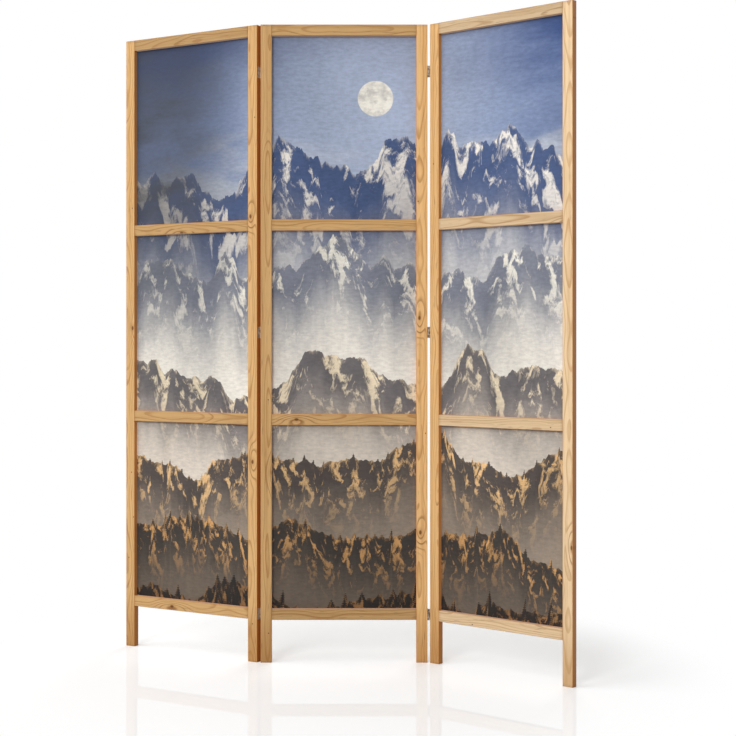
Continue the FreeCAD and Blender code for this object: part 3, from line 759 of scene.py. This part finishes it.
def cloth_sheet(panel, turn, seed):
    """The sheet of one panel, built flat in the panel's own directions and then stood in its place."""
    node = f"{panel}_panel_printed_cloth"
    shape = bmesh.new()
    bmesh.ops.create_grid(
        shape,
        x_segments=round(CLOTH_WIDTH / CLOTH_SPACING),
        y_segments=round(CLOTH_LENGTH / CLOTH_SPACING),
        size=0.5,
    )
    bmesh.ops.scale(shape, verts=shape.verts, vec=(CLOTH_WIDTH, CLOTH_LENGTH, 1.0))
    bmesh.ops.rotate(shape, verts=shape.verts, matrix=Matrix.Rotation(math.pi / 2, 3, "X"))
    picture = shape.loops.layers.uv.new("picture")
    for face in shape.faces:
        face.smooth = True
        for corner in face.loops:
            x, _, z = corner.vert.co
            corner[picture].uv = (x + PANEL_STEPS[panel], z + CLOTH_LENGTH / 2)
    centre = middle_of(node)
    for point in shape.verts:
        point.co.y += slack_at(point.co.x, point.co.z + centre.z, seed) - CLOTH_THICKNESS / 2
    bmesh.ops.rotate(shape, verts=shape.verts, matrix=Matrix.Rotation(turn, 3, "Z"))
    bmesh.ops.translate(shape, verts=shape.verts, vec=centre)
    mesh = bpy.data.meshes.new(f"{panel}_panel_canvas")
    shape.to_mesh(mesh)
    shape.free()
    mesh.materials.append(CLOTH_FACE)
    mesh.materials.append(CLOTH_BACK)
    sheet = bpy.data.objects.new(mesh.name, mesh)
    bpy.context.scene.collection.objects.link(sheet)

    # The floor's mirror shows the frames only
    sheet.visible_glossy = False
    body = sheet.modifiers.new("thickness", "SOLIDIFY")
    body.thickness = CLOTH_THICKNESS
    body.offset = -1
    body.material_offset = 1
    body.material_offset_rim = 1
    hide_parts(node)
    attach(sheet, f"{panel}_panel")


for number, (panel, turn) in enumerate(PANEL_TURNS.items()):
    cloth_sheet(panel, turn, SEED_STEP * number)


# Staples
# Galvanised wire staples, driven through the edge of the cloth into the rebate and the rails.
# Their crowns lie on the back of the cloth.
PATCH_RATE = (160.0, 160.0, 160.0)
TARNISH_EDGE = (0.38, 0.66)
TARNISH_ROUGHNESS = 0.16
SPECK_RATE = (1400.0, 1400.0, 1400.0)
SPECK_EDGE = (0.68, 0.76)
SPECK_TONE = 0.5
SCRATCH_RATE = (3000.0, 3000.0, 240.0)
SCRATCH_EDGE = (0.5, 0.75)
SCRATCH_ROUGHNESS = 0.10
METAL_RELIEF = 0.00003
METAL_RELIEF_STRENGTH = 0.4


def metal_group():
    """Plated metal that has dulled: patchy tarnish, fine scratches and small dark specks."""
    tree, given, out = new_group(
        "dulled metal",
        {"Place": "Vector", "Bright": "Color", "Dull": "Color", "Gloss": "Float"},
        {"Colour": "Color", "Roughness": "Float", "Height": "Float"},
    )
    patches = mottle(tree, given["Place"], PATCH_RATE, detail=4.0)["Fac"]
    specks = mottle(tree, given["Place"], SPECK_RATE, detail=1.0)["Fac"]
    scratches = mottle(tree, given["Place"], SCRATCH_RATE, detail=2.0)["Fac"]
    tarnish = step(tree, patches, *TARNISH_EDGE)
    colour = mixed(tree, tarnish, given["Bright"], given["Dull"])
    colour = mixed(tree, step(tree, specks, *SPECK_EDGE, 0.0, SPECK_TONE), colour, given["Dull"])
    roughness = calc(tree, "MULTIPLY_ADD", tarnish, TARNISH_ROUGHNESS, given["Gloss"])
    scratched = step(tree, scratches, *SCRATCH_EDGE)
    roughness = calc(tree, "MULTIPLY_ADD", scratched, SCRATCH_ROUGHNESS, roughness)
    send(tree, out, Colour=colour, Roughness=roughness, Height=scratches)
    return tree


DULLED_METAL = metal_group()


def metal_material(name, bright, dull, gloss, metallic):
    """A plated metal finish. A dull chromate film makes it less than fully metallic."""
    material, tree, shader = new_material(name)
    where = place(tree, "ShaderNodeTexCoord").outputs["Object"]
    plating = {"Place": where, "Bright": shade(*bright), "Dull": shade(*dull), "Gloss": gloss}
    plated = place(tree, "ShaderNodeGroup", plating, node_tree=DULLED_METAL).outputs
    tree.links.new(plated["Colour"], shader.inputs["Base Color"])
    tree.links.new(plated["Roughness"], shader.inputs["Roughness"])
    raise_surface(tree, shader, plated["Height"], METAL_RELIEF, METAL_RELIEF_STRENGTH)
    shader.inputs["Metallic"].default_value = metallic
    return material


STAPLE_WIRE = metal_material(
    "galvanised_wire", bright=(196, 198, 202), dull=(150, 152, 156), gloss=0.34, metallic=0.9)
for panel in PANEL_TURNS:
    dress(f"{panel}_panel_staples", STAPLE_WIRE)


# Hinges
# Three butt hinges to a joint, pressed from steel strip that is rolled into knuckles round a loose pin.
# The plating has dulled to a warm grey, in two copies as light and shade: painted lighter in the closed left
# joint, and painted darker in the open right joint.
HINGE_PLATES = {
    # Painted light on the left joint's hinges
    "left": metal_material(
        "hinge_plate_painted_light", bright=(232, 216, 200), dull=(186, 164, 144), gloss=0.42, metallic=0.45),
    # Painted shade on the right joint's hinges
    "right": metal_material(
        "hinge_plate_painted_shade", bright=(188, 172, 154), dull=(104, 88, 74), gloss=0.42, metallic=0.45),
}
HINGE_PIN = metal_material(
    "hinge_pin", bright=(206, 190, 172), dull=(150, 132, 114), gloss=0.34, metallic=0.6)
for side, plate in HINGE_PLATES.items():
    for height in ("bottom", "middle", "top"):
        hinge = f"{side}_{height}_hinge"
        dress(f"{hinge}_middle_leaf", plate)
        dress(f"{hinge}_{side}_leaf", plate)
        dress(f"{hinge}_pin", HINGE_PIN)


# Screws
# Countersunk steel wood screws, plated like the hinges.
# Two in each leaf are driven into the edges of the stiles.
SCREW_STEEL = metal_material(
    "screw_steel", bright=(224, 208, 190), dull=(168, 150, 132), gloss=0.34, metallic=0.7)
for side in HINGE_PLATES:
    dress(f"{side}_joint_middle_leaf_screws", SCREW_STEEL)
    dress(f"{side}_joint_{side}_leaf_screws", SCREW_STEEL)


# Studio floor
# A wide sheet of white acrylic that the screen stands on, with soft shadows and a faint mirror of the frames.
# Near the screen it is mostly lit by the lamps, and further out it is plain white to the camera.
FLOOR_SIDE = 24.0
WHITE = (1, 1, 1, 1)
FLOOR_BOUNCE = (0.45, 0.45, 0.45, 1)
FLOOR_ROUGHNESS = 0.6
FLOOR_MIRROR = 0.12
FLOOR_BLUR = 0.02
FLOOR_GLOW = 0.10
FLOOR_LIT = 0.82
SHADOW_REACH = 0.64
SHADOW_END = 1.06


def seen(tree, rays):
    """1 where a surface is looked at, also in a mirror or through glass, and 0 where it lights others."""
    straight = calc(tree, "MAXIMUM", rays["Is Camera Ray"], rays["Is Glossy Ray"])
    return calc(tree, "MAXIMUM", straight, rays["Is Transmission Ray"])


shape = bmesh.new()
bmesh.ops.create_grid(shape, x_segments=1, y_segments=1, size=FLOOR_SIDE / 2)
mesh = bpy.data.meshes.new("studio_floor")
shape.to_mesh(mesh)
shape.free()
floor = bpy.data.objects.new("studio_floor", mesh)
bpy.context.scene.collection.objects.link(floor)
material, tree, shader = new_material("white_acrylic")
shader.inputs["Roughness"].default_value = FLOOR_ROUGHNESS
shader.inputs["Specular IOR Level"].default_value = 0.0
rays = place(tree, "ShaderNodeLightPath").outputs
tree.links.new(mixed(tree, rays["Is Camera Ray"], FLOOR_BOUNCE, WHITE), shader.inputs["Base Color"])

# What the floor gives off itself: a little near the screen, and all of its white further out
away = vector_calc(tree, "LENGTH", place(tree, "ShaderNodeTexCoord").outputs["Object"])
share = step(tree, away, SHADOW_REACH, SHADOW_END, FLOOR_GLOW, 1.0)
strength = calc(tree, "ADD", calc(tree, "DIVIDE", 1.0 - FLOOR_LIT, share), FLOOR_LIT)
glow = place(tree, "ShaderNodeEmission", {"Color": WHITE, "Strength": strength}).outputs[0]
lifted = {0: calc(tree, "MULTIPLY", seen(tree, rays), share), 1: shader.outputs[0], 2: glow}
white = place(tree, "ShaderNodeMixShader", lifted).outputs[0]

mirror = place(tree, "ShaderNodeBsdfGlossy", {"Color": WHITE, "Roughness": FLOOR_BLUR}).outputs[0]
glossed = {0: calc(tree, "MULTIPLY", rays["Is Camera Ray"], FLOOR_MIRROR), 1: white, 2: mirror}
top = place(tree, "ShaderNodeMixShader", glossed).outputs[0]
tree.links.new(top, tree.nodes["Material Output"].inputs["Surface"])
mesh.materials.append(material)


# Studio light
# A white room with soft lamps: the strongest at the front left, a wide one high at the left for the outer
# panels and the legs' shadows, and a lower one behind for the back of the screen.
ROOM_LIGHT = 0.31
LAMPS = {
    "key_lamp": {"spot": (-3.6, -8.3, 4.0), "aim": (0.0, 0.0, 0.9), "side": 3.4, "power": 415.0},
    "side_lamp": {"spot": (-5.4, -1.0, 5.6), "aim": (0.0, 0.0, 0.6), "side": 6.0, "power": 260.0},
    "back_lamp": {"spot": (1.5, 5.6, 2.2), "aim": (0.0, 0.0, 0.9), "side": 3.0, "power": 145.0},
}
world = bpy.data.worlds.new("white_room")
bpy.context.scene.world = world
world.use_nodes = True
tree = world.node_tree
rays = place(tree, "ShaderNodeLightPath").outputs
lit = place(tree, "ShaderNodeBackground", {"Color": WHITE, "Strength": ROOM_LIGHT}).outputs[0]
white = place(tree, "ShaderNodeBackground", {"Color": WHITE, "Strength": 1.0}).outputs[0]
room = place(tree, "ShaderNodeMixShader", {0: seen(tree, rays), 1: lit, 2: white}).outputs[0]
tree.links.new(room, tree.nodes["World Output"].inputs["Surface"])


def soft_lamp(name, spot, aim, side, power):
    """A square soft box that points at the screen, and that neither the camera nor the floor shows."""
    lamp = bpy.data.lights.new(name, "AREA")
    lamp.shape = "SQUARE"
    lamp.size = side
    lamp.energy = power
    stand = bpy.data.objects.new(name, lamp)
    stand.location = spot
    stand.rotation_euler = (Vector(aim) - Vector(spot)).to_track_quat("-Z", "Y").to_euler()
    stand.visible_camera = False
    stand.visible_glossy = False
    bpy.context.scene.collection.objects.link(stand)


for name, settings in LAMPS.items():
    soft_lamp(name, **settings)


# Camera
# It stands about level with the middle of the screen, square to the middle panel and a little to the right.
# The lens is long and shifted down a little, so that upright edges stay upright.
CAMERA_SPOT = (0.0831, -3.9678, 0.8644)
FOCAL_LENGTH = 72.45
SENSOR_WIDTH = 36.0
LENS_SHIFT = -0.0354
lens = bpy.data.cameras.new("studio_camera")
lens.lens = FOCAL_LENGTH
lens.sensor_width = SENSOR_WIDTH
lens.shift_y = LENS_SHIFT
camera = bpy.data.objects.new("studio_camera", lens)
camera.location = CAMERA_SPOT
camera.rotation_euler = (math.pi / 2, 0.0, 0.0)
bpy.context.scene.collection.objects.link(camera)
bpy.context.scene.camera = camera
bpy.context.scene.view_settings.view_transform = "Standard"
